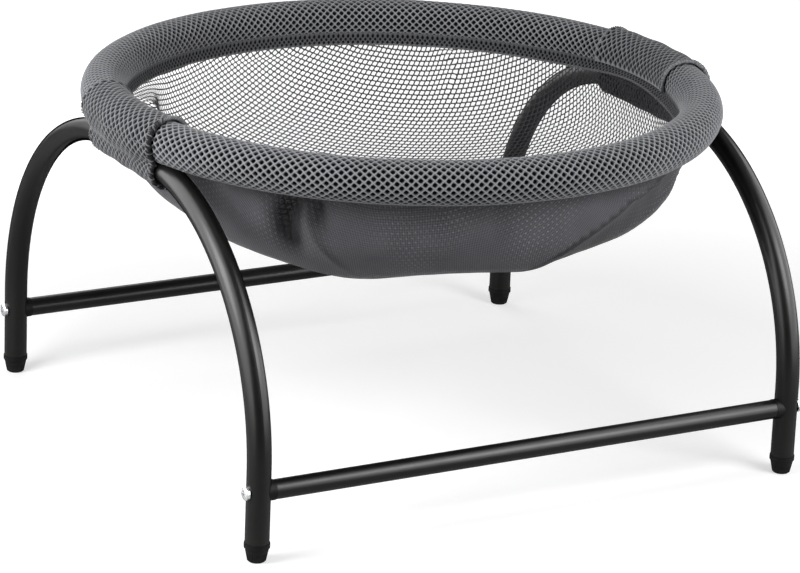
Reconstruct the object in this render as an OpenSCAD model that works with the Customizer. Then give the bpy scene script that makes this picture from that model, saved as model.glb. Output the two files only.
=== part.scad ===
// Raised hammock: a round padded mesh basin that hangs on two bent tube arches.
// Millimetres. X runs along the stretchers, -Y is the front, Z is up from the floor.

/* [Arches] */
// Outside diameter of the arch tube
leg_d = 16; // [14:0.5:18]
// Wall of the arch tube
leg_wall = 1.2; // [0.8:0.1:1.8]
// Distance between the two arches, centre to centre
arch_gap = 402; // [360:1:440]
// Distance between the two legs of an arch, centre to centre
leg_span = 387; // [360:1:420]
// Bend radius of an arch, at the tube centre
bend_r = 158; // [120:1:164]
// Height of the arch top above the floor, at the tube centre
arch_top_z = 218.5; // [213:0.5:250]

/* [Stretchers] */
// Outside diameter of a stretcher tube
stretcher_d = 13; // [12:0.5:15]
// Wall of a stretcher tube
stretcher_wall = 1; // [0.7:0.1:1.2]
// Height of the stretchers above the floor, at the tube centre
stretcher_z = 47; // [40:1:56]
// Diameter of the saddle collar between a leg and a stretcher
saddle_d = 13.6; // [13.2:0.1:15]
// Thickness of the saddle collar at its thinnest
saddle_t = 2.5; // [2:0.5:5]
// Length of the saddle's plug inside the stretcher
plug_l = 22; // [16:1:40]

/* [Fasteners] */
// Diameter of the leg screws
screw_d = 5; // [4:0.5:5]
// Head diameter of the leg screws
head_d = 9; // [8:0.5:11]
// Head height of the leg screws
head_h = 3; // [2.5:0.1:4]
// Width across the flats of the captive nuts
nut_af = 8; // [7.5:0.1:8]
// Height of the captive nuts
nut_h = 4; // [3:0.5:6]

/* [Feet] */
// Height of a foot below the tube end
foot_h = 12.5; // [10:0.5:20]
// Diameter of a foot at the floor
foot_tip_d = 12; // [10:0.5:13]
// How far the collar of a foot stands out past the tube
foot_lip = 0.5; // [0.3:0.1:1]
// Height of the collar of a foot
foot_collar_h = 3; // [2:0.5:5]
// Length of the foot's stem inside the tube
foot_stem_l = 15; // [10:1:20]
// Number of grip flutes round a foot
foot_flutes = 34; // [24:1:40]
// Diameter of a grip flute
foot_flute_d = 0.7; // [0.5:0.1:0.9]

/* [Rim] */
// Outside diameter of the padded rim
rim_d = 30; // [28:0.5:36]
// How far the rim's centre line lies outside the arches
rim_overhang = 3.5; // [0:0.5:6]
// How far an arch tube presses into the padded rim
rim_press = 5; // [1:0.5:6]
// Thickness of the rim's mesh cover
cover_t = 2; // [1.5:0.1:3]
// Outside diameter of the hoop tube inside the rim
hoop_d = 10; // [8:0.5:14]
// Wall of the hoop tube
hoop_wall = 1; // [0.7:0.1:1.5]
// Length of the dowels that join the hoop halves
joiner_l = 60; // [30:1:100]

/* [Basin] */
// Depth of the basin below its sewn edge
basin_depth = 86; // [70:1:110]
// How far the basin's wall lies inside the rim's centre line
basin_inset = 12.5; // [11:0.5:13]
// Thickness of the basin's mesh cloth
cloth_t = 2; // [1.2:0.1:2.4]
// Height of the hem tape round the basin's edge
hem_h = 6; // [4:0.5:7]
// Thickness of the hem tape
hem_t = 0.8; // [0.5:0.1:1.2]
// Height of the basin's main folds
fold_h = 7; // [2:0.5:9]
// How far the basin's low pouch hangs below its round shape
pouch_drop = 7.5; // [0:0.5:9]

/* [Flaps] */
// Width of a flap along its arch
flap_w = 97; // [80:1:110]
// Thickness of the flap cloth
flap_t = 2; // [1.5:0.1:2.2]
// Height of the closing tab above the flap's fold line
tab_h = 5; // [3.5:0.5:5]
// Thickness of each half of the hook and loop closure
strip_t = 1; // [0.8:0.1:1.2]
// Margin of the loop tab at each end, along the arch
tab_margin = 10; // [9:0.5:14]
// Margin of the hook and loop strips at each end of the loop tab
strip_margin = 2; // [1:0.5:5]

/* [Hidden] */
$fn = 64;

// Clearances and the one overrun for cuts
seat_gap = 0.3;
fit_gap = 0.1;
hole_gap = 0.2;
cloth_gap = 0.4;
overrun = 1;

// Colours
steel_black = "#22211f";
plastic_black = "#161616";
zinc_silver = "#c9cccd";
mesh_grey = "#7d7e82";
cloth_grey = "#47474c";
foam_grey = "#9a9a9a";
tape_black = "#2a2a2d";

// Arch: where the bends begin, and the half length of the straight top
leg_x = arch_gap / 2;
leg_y = leg_span / 2;
bend_z = arch_top_z - bend_r;
top_half = leg_y - bend_r;
leg_bore_d = leg_d - 2 * leg_wall;

// Stretcher and its saddles
stretcher_bore_d = stretcher_d - 2 * stretcher_wall;
stretcher_end_x = leg_x - leg_d / 2 - saddle_t;
plug_d = stretcher_bore_d - 2 * fit_gap;
saddle_wrap_share = 0.56;
saddle_wrap_x = leg_x - leg_d / 2 * saddle_wrap_share;
screw_hole_d = screw_d + 2 * hole_gap;
nut_face_x = stretcher_end_x - plug_l + nut_h + fit_gap;
screw_tip_x = nut_face_x - nut_h;
head_crown_share = 0.45;
recess_width_share = 0.14;
recess_reach_share = 0.62;
recess_depth_share = 0.5;

// Feet
foot_collar_d = leg_d + 2 * foot_lip;
foot_stem_d = leg_bore_d - 2 * fit_gap;
foot_taper_h = foot_h - foot_collar_h;
foot_flute_share = 0.66;
foot_edge_share = 0.08;

// Rim
rim_r = leg_x + rim_overhang;
rim_z = arch_top_z + leg_d / 2 + seat_gap + rim_d / 2 - rim_press;
foam_d = rim_d - 2 * cover_t - 2 * fit_gap;
joiner_d = hoop_d - 2 * hoop_wall - 2 * fit_gap;
joiner_angle = joiner_l / rim_r * 180 / PI;

// Basin: the profile changes from a steep wall at the front right to a slack slope at the rear left
basin_columns = 72;
basin_rings = 8;
steep_angle = -46;
steep_side_power = 1.16;
slack_side_power = 3.2;
steep_drop_power = 4.9;
slack_drop_power = 2.45;
edge_angle = 42;
edge_angle_at_flap = 24;
flap_reach_angle = 18;
edge_cloth_share = 0.45;
edge_ring = rim_d / 2 + seat_gap + cloth_t * edge_cloth_share;
basin_r = rim_r - basin_inset;
basin_bottom_z = rim_z - edge_ring * sin(edge_angle) - basin_depth;
// The wall is drawn in beside the flap tails, which swing past it
tail_clear_x = leg_x - leg_d - seat_gap;
flap_draw = basin_r - tail_clear_x;
edge_drop_share = 1.5;
edge_drop = hem_h * edge_drop_share;

// Folds: angle at the edge, angle at the end, share of the drop where it ends,
// share of the fold height, width in degrees
fold_shares = [
  [-145, -147, 0.40, -0.8, 3.0],
  [-140, -139, 0.55, 0.9, 3.0],
  [-135, -133, 0.42, -0.9, 3.0],
  [-58, -84, 0.62, 0.7, 4.5],
  [-36, -53, 0.55, 0.5, 4.5],
  [133, 114, 0.55, -0.8, 4.5],
  [48, 52, 0.40, -0.5, 5.0],
  [93, 88, 0.50, 0.4, 7.0]
];
fold_fade_share = 0.3;
fold_start_share = 0.08;
hem_share = hem_h / basin_depth;
// Pouch: place and reach, as shares of the basin radius
pouch_place_shares = [-0.464, -0.523];
pouch_reach_share = 0.215;

// Flap: fold line on the outer side of the arch tube, measured from the tube centre
bead_share = 0.75;
bead_r = flap_t * bead_share;
hinge_u = leg_d / 2 + cloth_gap + bead_r;
flap_half_angle = asin(flap_w / 2 / rim_r);
flap_columns = 12;
flap_arc_steps = 20;
flap_start_angle = 195;
flap_end_angle = -50;
flap_end_w = bead_r + seat_gap;
flap_path_points = flap_arc_steps + 2;

// Closure on the inner side of the arch tube: loop tab, loop strip, hook strip, tail
tab_share = 1.2;
tab_t = strip_t * tab_share;
tab_u = leg_d / 2 + cloth_gap;
loop_u = tab_u + tab_t;
hook_u = loop_u + strip_t + seat_gap;
tail_u = hook_u + strip_t;
tail_outer_u = hinge_u + flap_t / 2;
tail_ring_d = tail_outer_u + tail_u + flap_t;
tail_ring_u = (tail_outer_u - tail_u - flap_t) / 2;
tab_w = flap_w - 2 * tab_margin;
strip_w = tab_w - 2 * strip_margin;
tab_low_w = flap_t / 2;
tab_top_w = rim_z - arch_top_z - rim_d / 4;
// The tail hangs lower where the arch bends away under the flap's ends
tail_past_bend = max(0, flap_w / 2 - top_half);
arch_fall = bend_r - sqrt(bend_r * bend_r - tail_past_bend * tail_past_bend);
tail_fall = arch_fall > seat_gap ? arch_fall : 0;

// Shared shapes

module on_side(side) {
  if (side < 0) mirror([1, 0, 0]) children();
  else children();
}

module along_y(width) {
  translate([leg_x, width / 2, arch_top_z])
    rotate([90, 0, 0])
      linear_extrude(width) children();
}

module along_x(from_x, to_x, d, sides = $fn) {
  translate([from_x, 0, 0])
    rotate([0, 90, 0])
      cylinder(d = d, h = to_x - from_x, $fn = sides);
}

module at_corner(side, front) {
  on_side(side)
    translate([0, front * leg_y, stretcher_z]) children();
}

module ring_sector(from_angle, angle, d) {
  translate([0, 0, rim_z])
    rotate([0, 0, from_angle])
      rotate_extrude(angle = angle, $fn = 128)
        translate([rim_r, 0]) circle(d = d);
}

module hollow_sector(from_angle, angle, outer_d, inner_d) {
  translate([0, 0, rim_z])
    rotate([0, 0, from_angle])
      rotate_extrude(angle = angle, $fn = 128)
        translate([rim_r, 0])
          difference() {
            circle(d = outer_d);
            circle(d = inner_d);
          }
}

// Arches

// The two bends and the straight top
module arch_bow(d) {
  for (front = [0, 1]) mirror([0, front, 0])
    translate([0, top_half, bend_z])
      rotate([90, 0, 90])
        rotate_extrude(angle = 90) translate([bend_r, 0]) circle(d = d);
  translate([0, -top_half, arch_top_z])
    rotate([-90, 0, 0]) cylinder(d = d, h = 2 * top_half);
}

module arch_path(d, low_z) {
  for (front = [0, 1]) mirror([0, front, 0])
    translate([0, leg_y, low_z]) cylinder(d = d, h = bend_z - low_z);
  arch_bow(d);
}

module arch(side) {
  color(steel_black)
    difference() {
      translate([side * leg_x, 0, 0])
        difference() {
          arch_path(leg_d, foot_h);
          arch_path(leg_bore_d, foot_h - overrun);
        }
      for (front = [-1, 1]) at_corner(side, front)
        along_x(leg_x - leg_d, leg_x + leg_d, screw_hole_d);
    }
}

module foot(side, front) {
  tip_r = foot_tip_d / 2;
  edge = foot_taper_h * foot_edge_share;
  lean = atan((leg_d / 2 - tip_r) / foot_taper_h);
  color(plastic_black)
    translate([side * leg_x, front * leg_y, 0])
      difference() {
        rotate_extrude()
          polygon([
            [0, 0],
            [tip_r - edge, 0],
            [tip_r + edge * tan(lean), edge],
            [leg_d / 2, foot_taper_h],
            [foot_collar_d / 2, foot_taper_h],
            [foot_collar_d / 2, foot_h],
            [foot_stem_d / 2, foot_h],
            [foot_stem_d / 2, foot_h + foot_stem_l],
            [0, foot_h + foot_stem_l]
          ]);
        for (i = [0 : foot_flutes - 1]) rotate([0, 0, i * 360 / foot_flutes])
          translate([tip_r, 0, 0]) rotate([0, lean, 0]) translate([0, 0, -overrun])
            cylinder(d = foot_flute_d, h = overrun + foot_taper_h * foot_flute_share);
      }
}

// Stretchers and their fastening

module stretcher(front) {
  color(steel_black)
    translate([0, front * leg_y, stretcher_z])
      difference() {
        along_x(-stretcher_end_x, stretcher_end_x, stretcher_d);
        along_x(-stretcher_end_x - overrun, stretcher_end_x + overrun, stretcher_bore_d);
      }
}

module saddle(side, front) {
  color(plastic_black)
    at_corner(side, front)
      difference() {
        union() {
          along_x(stretcher_end_x, saddle_wrap_x, saddle_d);
          along_x(stretcher_end_x - plug_l, stretcher_end_x + overrun, plug_d);
        }
        translate([leg_x, 0, -leg_d])
          cylinder(d = leg_d + fit_gap, h = 2 * leg_d);
        along_x(stretcher_end_x - plug_l - overrun, leg_x, screw_hole_d);
        along_x(
          stretcher_end_x - plug_l - overrun, nut_face_x,
          (nut_af + 2 * fit_gap) / cos(30), 6
        );
      }
}

module captive_nuts() {
  color(zinc_silver)
    for (side = [-1, 1], front = [-1, 1]) at_corner(side, front)
      difference() {
        along_x(screw_tip_x, nut_face_x - fit_gap, nut_af / cos(30), 6);
        along_x(screw_tip_x - overrun, nut_face_x + overrun, screw_d + fit_gap);
      }
}

module screw_head() {
  crown_h = head_h * head_crown_share;
  crown_steps = 6;
  rotate([0, 90, 0])
    rotate_extrude()
      polygon(concat(
        [[0, 0], [head_d / 2, 0]],
        [
          for (i = [0 : crown_steps])
            let (a = 90 * i / crown_steps)
              [head_d / 2 * cos(a), head_h - crown_h + crown_h * sin(a)]
        ]
      ));
}

module leg_screws() {
  seat_x = leg_x + leg_d / 2;
  recess_depth = head_h * recess_depth_share;
  color(zinc_silver)
    for (side = [-1, 1], front = [-1, 1]) at_corner(side, front) {
      difference() {
        union() {
          translate([seat_x, 0, 0]) screw_head();
          along_x(screw_tip_x, seat_x + overrun, screw_d);
        }
        for (turn = [0, 90])
          translate([seat_x + head_h, 0, 0])
            rotate([turn, 0, 0])
              cube(
                [2 * recess_depth, head_d * recess_reach_share, head_d * recess_width_share],
                center = true
              );
      }
    }
}

// Rim: a steel hoop in two halves, foam round it and a mesh cover

module hoop_half(from_angle) {
  color(steel_black)
    hollow_sector(from_angle, 180, hoop_d, hoop_d - 2 * hoop_wall);
}

module hoop_joiner(middle_angle) {
  color(zinc_silver)
    ring_sector(middle_angle - joiner_angle / 2, joiner_angle, joiner_d);
}

// The hollows that the arch tubes press into the rim
module rim_dents(gap) {
  for (side = [-1, 1])
    translate([side * leg_x, 0, 0]) arch_bow(leg_d + 2 * gap);
}

module rim_foam(from_angle) {
  color(foam_grey)
    difference() {
      hollow_sector(from_angle, 180, foam_d, hoop_d + 2 * fit_gap);
      rim_dents(seat_gap + cover_t + fit_gap);
    }
}

module rim_cover() {
  color(mesh_grey)
    difference() {
      ring_sector(0, 360, rim_d);
      rim_dents(seat_gap);
      difference() {
        ring_sector(0, 360, rim_d - 2 * cover_t);
        rim_dents(seat_gap + cover_t);
      }
    }
}

// Basin cloth: a hanging bowl with its folds

// 1 on the flap's side of the rim, falling to 0 away from it
function near_flap(angle) = exp(-pow(asin(abs(sin(angle))) / flap_reach_angle, 2));

// 1 on the steep side, 0 on the slack side
function steep(angle) = (1 + cos(angle - steep_angle)) / 2;

function edge_tilt(angle) = edge_angle + (edge_angle_at_flap - edge_angle) * near_flap(angle);

function edge_r(angle) = rim_r - edge_ring * cos(edge_tilt(angle));

function edge_z(angle) = rim_z - edge_ring * sin(edge_tilt(angle));

function wall_r(angle) = basin_r - flap_draw * near_flap(angle);

function side_power(angle) = slack_side_power + (steep_side_power - slack_side_power) * steep(angle);

function drop_power(angle) = slack_drop_power + (steep_drop_power - slack_drop_power) * steep(angle);

// Share of the way down at which a ring of the cloth lies: the edge, the hem's lower line, then even steps
function hem_way(angle) =
  let (share = hem_h / (edge_z(angle) - basin_bottom_z))
    pow(asin(pow(share, drop_power(angle) / 2)) / 90, 1 / (1 + steep(angle)));

function ring_way(angle, j) =
  j == 0 ? 0 : hem_way(angle) + (1 - hem_way(angle)) * (j - 1) / (basin_rings - 1);

function turn_between(a, b) = abs((a - b + 540) % 360 - 180);

// Height of the folds at an angle and a share of the drop
function fold_at(angle, drop) = fold_h * min(1, max(0, drop - hem_share) / fold_start_share) * [
  for (f = fold_shares)
    let (
      along = min(1, drop / f[2]),
      path = f[0] + (f[1] - f[0]) * along,
      fade = drop < f[2] ? 1 : max(0, 1 - (drop - f[2]) / fold_fade_share)
    )
      f[3] * fade * exp(-pow(turn_between(angle, path) / f[4], 2))
] * [for (f = fold_shares) 1];

function pouch_at(x, y) =
  let (
    across = x / basin_r - pouch_place_shares[0],
    deep = y / basin_r - pouch_place_shares[1]
  )
    pouch_drop * exp(-(across * across + deep * deep) / pow(pouch_reach_share, 2));

// A point of the cloth: angle, share of the way down to the middle, depth into the cloth
function basin_point(angle, way, inside) =
  let (
    turn = 90 * pow(way, 1 + steep(angle)),
    full_drop = edge_z(angle) - basin_bottom_z - inside,
    share = pow(sin(turn), 2 / drop_power(angle)),
    drop = full_drop * share,
    edge = pow(max(0, 1 - drop / edge_drop), 2),
    wall = (wall_r(angle) - inside) * pow(max(0, cos(turn)), 2 / side_power(angle)),
    rim_shift = (edge_r(angle) + cloth_t / 2 - wall_r(angle)) * edge,
    swell = fold_at(angle, share),
    lean = sin(turn),
    r = wall + rim_shift + swell * (1 - lean),
    x = r * cos(angle),
    y = r * sin(angle)
  )
    [x, y, edge_z(angle) - drop - swell * lean - pouch_at(x, y) * share];

module basin() {
  c = basin_columns;
  n = basin_rings;
  layer = c * n + 1;
  function at(l, j, i) = l * layer + j * c + i % c;
  function tip(l) = l * layer + c * n;
  points = [
    for (l = [0, 1])
      each concat(
        [
          for (j = [0 : n - 1], i = [0 : c - 1])
            basin_point(360 * i / c, ring_way(360 * i / c, j), l * cloth_t)
        ],
        [basin_point(0, 1, l * cloth_t)]
      )
  ];
  faces = [
    for (i = [0 : c - 1])
      each concat(
        [
          for (j = [0 : n - 2])
            each [
              [at(0, j, i), at(0, j, i + 1), at(0, j + 1, i + 1)],
              [at(0, j, i), at(0, j + 1, i + 1), at(0, j + 1, i)],
              [at(1, j, i), at(1, j + 1, i + 1), at(1, j, i + 1)],
              [at(1, j, i), at(1, j + 1, i), at(1, j + 1, i + 1)]
            ]
        ],
        [
          [at(0, n - 1, i), at(0, n - 1, i + 1), tip(0)],
          [at(1, n - 1, i), tip(1), at(1, n - 1, i + 1)],
          [at(1, 0, i), at(1, 0, i + 1), at(0, 0, i + 1)],
          [at(1, 0, i), at(0, 0, i + 1), at(0, 0, i)]
        ]
      )
  ];
  color(cloth_grey) polyhedron(points, faces);
}

// Hem tape: a band on the inner face of the basin's edge
module hem_tape() {
  c = basin_columns;
  function inward(p, by) = p - [p[0], p[1], 0] / norm([p[0], p[1]]) * by;
  function section(angle) =
    let (
      top = basin_point(angle, 0, cloth_t),
      low = basin_point(angle, hem_way(angle), cloth_t)
    )
      [
        inward(top, seat_gap), inward(top, seat_gap + hem_t),
        inward(low, seat_gap + hem_t), inward(low, seat_gap)
      ];
  points = [for (i = [0 : c - 1]) each section(360 * i / c)];
  faces = [
    for (i = [0 : c - 1], k = [0 : 3])
      let (
        a = 4 * i + k,
        b = 4 * i + (k + 1) % 4,
        d = 4 * ((i + 1) % c) + k,
        e = 4 * ((i + 1) % c) + (k + 1) % 4
      )
        each [[a, b, d], [b, e, d]]
  ];
  color(tape_black) polyhedron(points, faces);
}

// Flaps: sewn over the rim, then down the outer side of the arch tube

function flap_point(column, k, outside) =
  let (
    across = 2 * column / flap_columns - 1,
    a = flap_start_angle - (flap_start_angle - flap_end_angle) * k / flap_arc_steps,
    ring = rim_d / 2 + seat_gap + outside * flap_t,
    turn = across * flap_half_angle,
    r = rim_r + ring * cos(a)
  )
    k <= flap_arc_steps
      ? [r * cos(turn), r * sin(turn), rim_z + ring * sin(a)]
      : [
          leg_x + hinge_u + (2 * outside - 1) * flap_t / 2,
          across * flap_w / 2,
          arch_top_z + flap_end_w
        ];

module flap(side) {
  c = flap_columns;
  n = flap_path_points - 1;
  layer = (c + 1) * (n + 1);
  function at(l, j, k) = l * layer + j * (n + 1) + k;
  points = [for (l = [0, 1], j = [0 : c], k = [0 : n]) flap_point(j, k, l)];
  faces = concat(
    [
      for (j = [0 : c - 1], k = [0 : n - 1])
        each [
          [at(1, j, k), at(1, j + 1, k), at(1, j + 1, k + 1)],
          [at(1, j, k), at(1, j + 1, k + 1), at(1, j, k + 1)],
          [at(0, j, k), at(0, j + 1, k + 1), at(0, j + 1, k)],
          [at(0, j, k), at(0, j, k + 1), at(0, j + 1, k + 1)]
        ]
    ],
    [
      for (k = [0 : n - 1])
        each [
          [at(1, 0, k), at(1, 0, k + 1), at(0, 0, k + 1)],
          [at(1, 0, k), at(0, 0, k + 1), at(0, 0, k)],
          [at(1, c, k), at(0, c, k + 1), at(1, c, k + 1)],
          [at(1, c, k), at(0, c, k), at(0, c, k + 1)]
        ]
    ],
    [
      for (j = [0 : c - 1])
        each [
          [at(1, j + 1, 0), at(1, j, 0), at(0, j, 0)],
          [at(1, j + 1, 0), at(0, j, 0), at(0, j + 1, 0)],
          [at(1, j, n), at(1, j + 1, n), at(0, j + 1, n)],
          [at(1, j, n), at(0, j + 1, n), at(0, j, n)]
        ]
    ]
  );
  color(mesh_grey) on_side(side) polyhedron(points, faces);
}

module tail_loop(d) {
  translate([tail_ring_u, -tail_fall]) circle(d = d);
  if (tail_fall > 0) translate([tail_ring_u - d / 2, -tail_fall]) square([d, tail_fall]);
}

// Tail: goes on under the arch tube and up its inner side
module flap_tail(side) {
  color(mesh_grey)
    on_side(side)
      along_y(flap_w) {
        translate([hinge_u, 0]) circle(r = bead_r);
        difference() {
          tail_loop(tail_ring_d);
          tail_loop(tail_ring_d - 2 * flap_t);
          translate([-tail_ring_d, 0]) square([2 * tail_ring_d, tail_ring_d]);
        }
        translate([-tail_u - flap_t, -overrun]) square([flap_t, tab_h + overrun]);
      }
}

module hook_strip(side) {
  color(tape_black)
    on_side(side)
      along_y(strip_w)
        translate([-hook_u - strip_t, 0]) square([strip_t, tab_h - fit_gap]);
}

module loop_tab(side) {
  color(mesh_grey)
    on_side(side)
      difference() {
        along_y(tab_w)
          translate([-tab_u - tab_t, tab_low_w]) square([tab_t, tab_top_w - tab_low_w]);
        ring_sector(-90, 180, rim_d + 2 * seat_gap);
      }
}

module loop_strip(side) {
  color(tape_black)
    on_side(side)
      along_y(strip_w)
        translate([-loop_u - strip_t, tab_low_w]) square([strip_t, tab_h]);
}

arch(-1);  // left_arch
arch(1);  // right_arch
stretcher(-1);  // front_stretcher
stretcher(1);  // rear_stretcher
foot(-1, -1);  // front_left_foot
foot(1, -1);  // front_right_foot
foot(-1, 1);  // rear_left_foot
foot(1, 1);  // rear_right_foot
saddle(-1, -1);  // front_left_saddle
saddle(1, -1);  // front_right_saddle
saddle(-1, 1);  // rear_left_saddle
saddle(1, 1);  // rear_right_saddle
leg_screws();
captive_nuts();
hoop_half(180);  // hoop_front_half
hoop_half(0);  // hoop_rear_half
hoop_joiner(180);  // left_hoop_joiner
hoop_joiner(0);  // right_hoop_joiner
rim_foam(180);  // rim_foam_front
rim_foam(0);  // rim_foam_rear
rim_cover();
basin();
hem_tape();
flap(-1);  // left_flap
flap(1);  // right_flap
flap_tail(-1);  // left_flap_tail
flap_tail(1);  // right_flap_tail
hook_strip(-1);  // left_hook_strip
hook_strip(1);  // right_hook_strip
loop_tab(-1);  // left_loop_tab
loop_tab(1);  // right_loop_tab
loop_strip(-1);  // left_loop_strip
loop_strip(1);  // right_loop_strip
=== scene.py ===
import math

import bmesh
import bpy
import numpy as np
from mathutils import Matrix, Vector, noise


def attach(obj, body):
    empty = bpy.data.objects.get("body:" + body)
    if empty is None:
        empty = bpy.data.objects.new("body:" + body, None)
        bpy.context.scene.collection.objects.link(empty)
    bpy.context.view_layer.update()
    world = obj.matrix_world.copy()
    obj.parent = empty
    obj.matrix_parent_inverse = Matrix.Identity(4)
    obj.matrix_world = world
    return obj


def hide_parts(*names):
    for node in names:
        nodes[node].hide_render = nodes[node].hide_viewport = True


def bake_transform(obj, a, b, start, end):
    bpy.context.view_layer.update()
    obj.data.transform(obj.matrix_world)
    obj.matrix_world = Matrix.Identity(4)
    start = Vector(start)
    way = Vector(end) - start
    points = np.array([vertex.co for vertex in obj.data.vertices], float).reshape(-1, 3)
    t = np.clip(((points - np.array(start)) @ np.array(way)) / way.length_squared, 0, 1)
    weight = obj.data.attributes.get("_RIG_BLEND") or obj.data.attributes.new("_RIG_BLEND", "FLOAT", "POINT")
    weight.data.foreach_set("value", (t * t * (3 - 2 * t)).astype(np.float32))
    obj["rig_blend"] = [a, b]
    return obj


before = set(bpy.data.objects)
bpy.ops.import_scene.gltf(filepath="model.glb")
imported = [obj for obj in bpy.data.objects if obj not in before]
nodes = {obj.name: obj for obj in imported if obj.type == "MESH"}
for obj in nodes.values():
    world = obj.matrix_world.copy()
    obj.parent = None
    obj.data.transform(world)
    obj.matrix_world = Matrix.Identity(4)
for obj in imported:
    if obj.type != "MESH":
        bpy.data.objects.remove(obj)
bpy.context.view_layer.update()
print("frame loaded:", len(nodes), "nodes")


# Camera, at the photograph's angle

photoView = {
    "lens": 176.4254,
    "azimuth": -29.3591,
    "elevation": 18.4617,
    "roll": 2.3462,
    "aim": (-0.0054956, -0.0179483, 0.1049702),
    "distance": 2.7040885,
    "sensor": 36,
    "clip": (0.05, 50),
}


def placeCamera(view):
    az, el, roll = (math.radians(view[k]) for k in ("azimuth", "elevation", "roll"))
    back = Vector((math.sin(az) * math.cos(el), -math.cos(az) * math.cos(el), math.sin(el)))
    side = (-back).cross(Vector((0, 0, 1))).normalized()
    up = side.cross(-back)
    right = side * math.cos(roll) + up * math.sin(roll)
    top = up * math.cos(roll) - side * math.sin(roll)
    data = bpy.data.cameras.new("photoCamera")
    data.sensor_width = view["sensor"]
    data.lens = view["lens"]
    data.clip_start, data.clip_end = view["clip"]
    camera = bpy.data.objects.new("photoCamera", data)
    place = Matrix((right, top, back)).transposed().to_4x4()
    place.translation = Vector(view["aim"]) + back * view["distance"]
    camera.matrix_world = place
    bpy.context.scene.collection.objects.link(camera)
    bpy.context.scene.camera = camera


placeCamera(photoView)


# Sizes shared with the solids, in metres

hammock = {
    "legX": 0.201,
    "legR": 0.008,
    "archTop": 0.2185,
    "bendR": 0.158,
    "topHalf": 0.0355,
    "rimR": 0.2045,
    "rimZ": 0.2368,
    "tubeR": 0.015,
    "seatGap": 0.0003,
    "clothT": 0.002,
    "hemH": 0.006,
}


# Node helpers

def feed(tree, socket, value):
    # a link from another node, or a set value
    if isinstance(value, bpy.types.NodeSocket):
        tree.links.new(value, socket)
    else:
        socket.default_value = value


def addNode(tree, kind, **inputs):
    # i0, i1 and so on name a socket by its number
    node = tree.nodes.new(kind)
    for key, value in inputs.items():
        if key in ("operation", "data_type", "attribute_name", "use_clamp"):
            setattr(node, key, value)
        elif key[1:].isdigit():
            feed(tree, node.inputs[int(key[1:])], value)
        else:
            feed(tree, node.inputs[key.replace("_", " ")], value)
    return node


def mathNode(tree, operation, a, b=0.0, clamp=False):
    return addNode(tree, "ShaderNodeMath", operation=operation, i0=a, i1=b, use_clamp=clamp).outputs[0]


def rangeNode(tree, value, start=0.0, end=1.0, low=0.0, high=1.0):
    return addNode(tree, "ShaderNodeMapRange", Value=value, From_Min=start, From_Max=end,
                   To_Min=low, To_Max=high).outputs[0]


def noiseNode(tree, place, scale, detail):
    return addNode(tree, "ShaderNodeTexNoise", Vector=place, Scale=scale, Detail=detail).outputs[0]


def mixColour(tree, factor, a, b):
    node = addNode(tree, "ShaderNodeMix", data_type="RGBA", i0=factor)
    for key, value in ((6, a), (7, b)):  # the node's two colour sockets
        feed(tree, node.inputs[key], value if isinstance(value, bpy.types.NodeSocket) else (*value, 1))
    return node.outputs[2]


def makeGroup(name, inputs, outputs):
    group = bpy.data.node_groups.new(name, "ShaderNodeTree")
    for label, value in inputs.items():
        kind = "NodeSocketVector" if isinstance(value, tuple) else "NodeSocketFloat"
        group.interface.new_socket(label, in_out="INPUT", socket_type=kind).default_value = value
    for label in outputs:
        group.interface.new_socket(label, in_out="OUTPUT", socket_type="NodeSocketFloat")
    return group, group.nodes.new("NodeGroupInput"), group.nodes.new("NodeGroupOutput")


def useGroup(tree, group, **inputs):
    node = tree.nodes.new("ShaderNodeGroup")
    node.node_tree = group
    for key, value in inputs.items():
        feed(tree, node.inputs[key], value)
    return node.outputs


def startMaterial(name, **settings):
    mat = bpy.data.materials.new(name)
    mat.use_nodes = True
    shader = mat.node_tree.nodes["Principled BSDF"]
    for key, value in settings.items():
        shader.inputs[key.replace("_", " ")].default_value = value
    return mat, mat.node_tree, shader


def addBump(tree, shader, height, strength, distance):
    bump = addNode(tree, "ShaderNodeBump", Strength=strength, Distance=distance, Height=height)
    tree.links.new(bump.outputs["Normal"], shader.inputs["Normal"])


def objectPlace(tree):
    return addNode(tree, "ShaderNodeTexCoord").outputs["Object"]


# Shared effects

grainSpec = {"size": 0.001, "fineDetail": 3.0, "broadScale": 38.0, "broadDetail": 4.0}


def makeGrain(spec):
    inputs = {"Place": (0, 0, 0), "Size": spec["size"]}
    group, inside, outside = makeGroup("coatGrain", inputs, ["Tint", "Height"])
    place = inside.outputs["Place"]
    scale = mathNode(group, "DIVIDE", 1.0, inside.outputs["Size"])
    fine = noiseNode(group, place, scale, spec["fineDetail"])
    broad = noiseNode(group, place, spec["broadScale"], spec["broadDetail"])
    group.links.new(broad, outside.inputs["Tint"])
    group.links.new(fine, outside.inputs["Height"])
    return group


dustSpec = {"reach": 0.03, "patchScale": 260.0, "patchDetail": 5.0}


def makeFloorDust(spec):
    # a thin veil that thickens towards the floor
    inputs = {"Place": (0, 0, 0), "Reach": spec["reach"]}
    group, inside, outside = makeGroup("floorDust", inputs, ["Mask"])
    place = inside.outputs["Place"]
    height = addNode(group, "ShaderNodeSeparateXYZ", Vector=place).outputs["Z"]
    low = mathNode(group, "SUBTRACT", 1.0, mathNode(group, "DIVIDE", height, inside.outputs["Reach"]), True)
    patch = noiseNode(group, place, spec["patchScale"], spec["patchDetail"])
    group.links.new(mathNode(group, "MULTIPLY", low, patch, True), outside.inputs["Mask"])
    return group


yarnSpec = {"size": 0.0004, "fibreDetail": 2.0, "fibreShare": 0.55,
            "shadeScale": 55.0, "shadeDetail": 3.0, "shadeShare": 0.45}


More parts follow.
